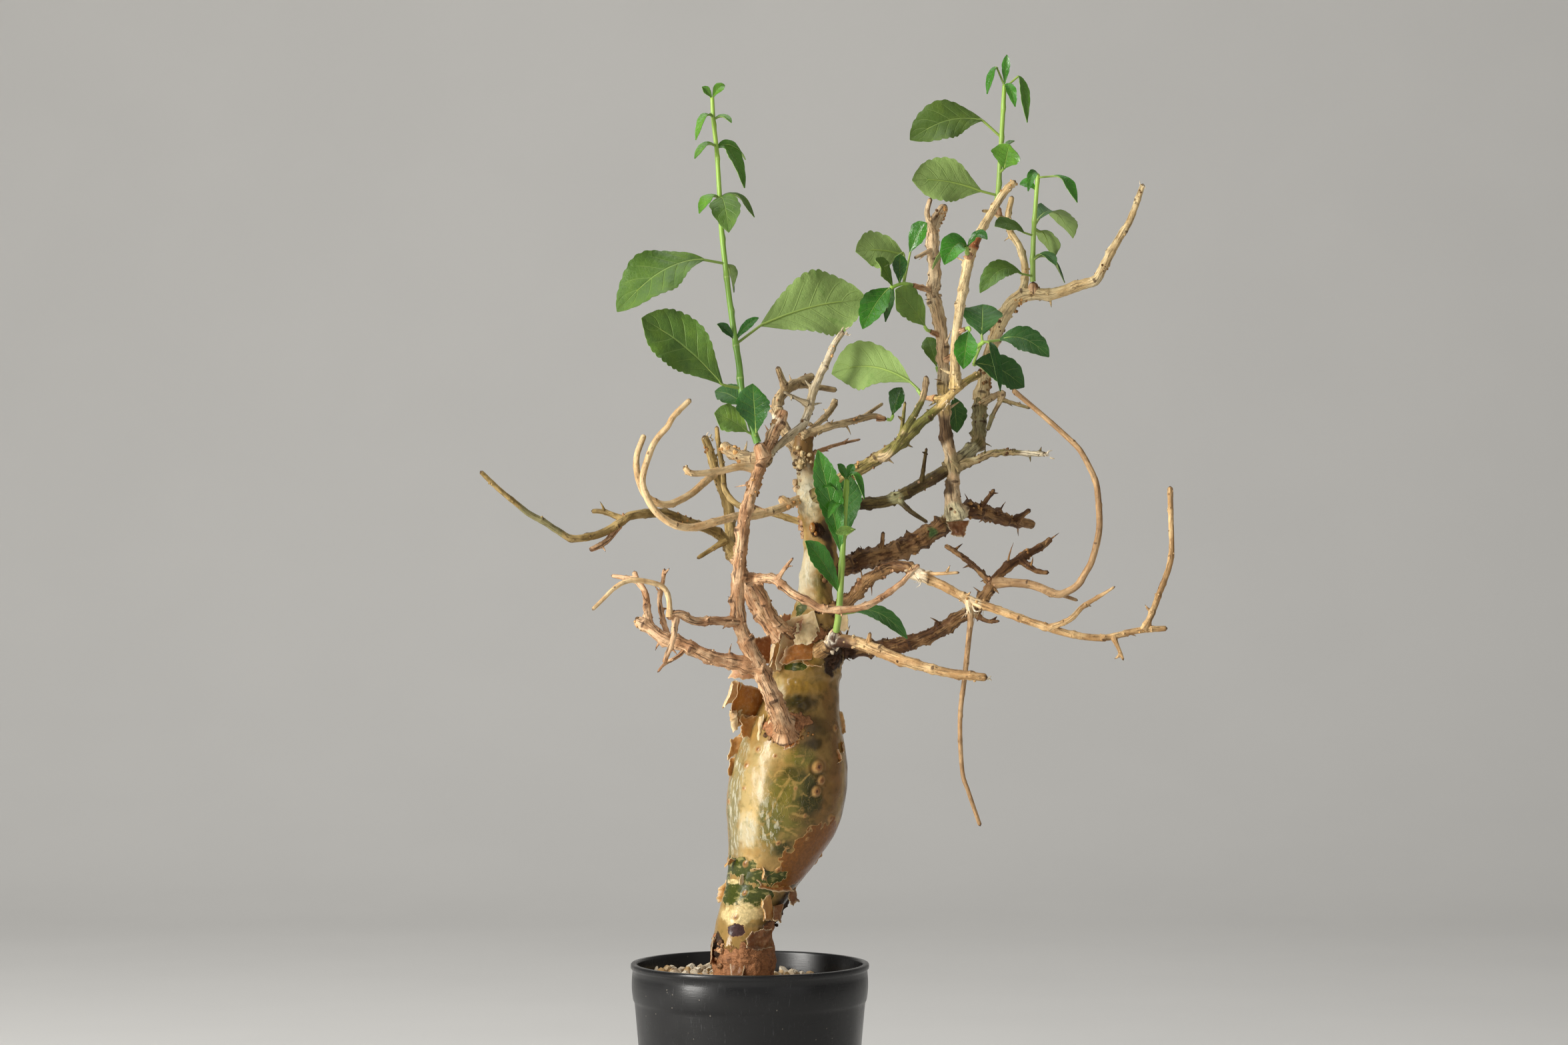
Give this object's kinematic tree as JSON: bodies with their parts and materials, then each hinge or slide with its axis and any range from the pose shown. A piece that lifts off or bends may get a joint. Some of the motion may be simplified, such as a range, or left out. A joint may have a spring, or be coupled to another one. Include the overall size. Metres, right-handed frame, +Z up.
{
  "type": "potted commiphora",
  "caption": "Swollen-stemmed succulent shrub with peeling bark, wandering woody twigs and leafy green shoots, standing in a round plastic pot of gravel.",
  "frame": {"origin": "middle of the pot's underside, on the surface it stands on", "axes": "+Z up along the pot's axis, -Y the front as pictured, +X to the right of that view"},
  "size_m": [0.2972, 0.1425, 0.5181],
  "materials": {
    "pot_plastic": "near-black moulded plastic, half matt",
    "pumice": "dry porous gravel in cream and tan",
    "bark": "papery tan bark over green, brown and greyish twigs",
    "leaf": "soft mid-green leaf, pale and matt below",
    "leaf_glossy": "glossy deep-green young leaf"
  },
  "bodies": {
    "root": {"pot": "pot_plastic", "soil": "pumice", "trunk": "bark", "shoot_left": "leaf", "shoot_front": "leaf_glossy", "shoot_upper_right": "leaf", "shoot_right": "leaf", "spray_centre": "leaf", "leaf_centre": "leaf_glossy", "spray_upright": "leaf", "leaf_middle": "leaf", "leaf_twig": "leaf_glossy", "spray_right": "leaf_glossy", "leaf_front": "leaf_glossy", "leaf_back": "leaf", "leaf_back_left": "leaf"}
  },
  "joints": []
}
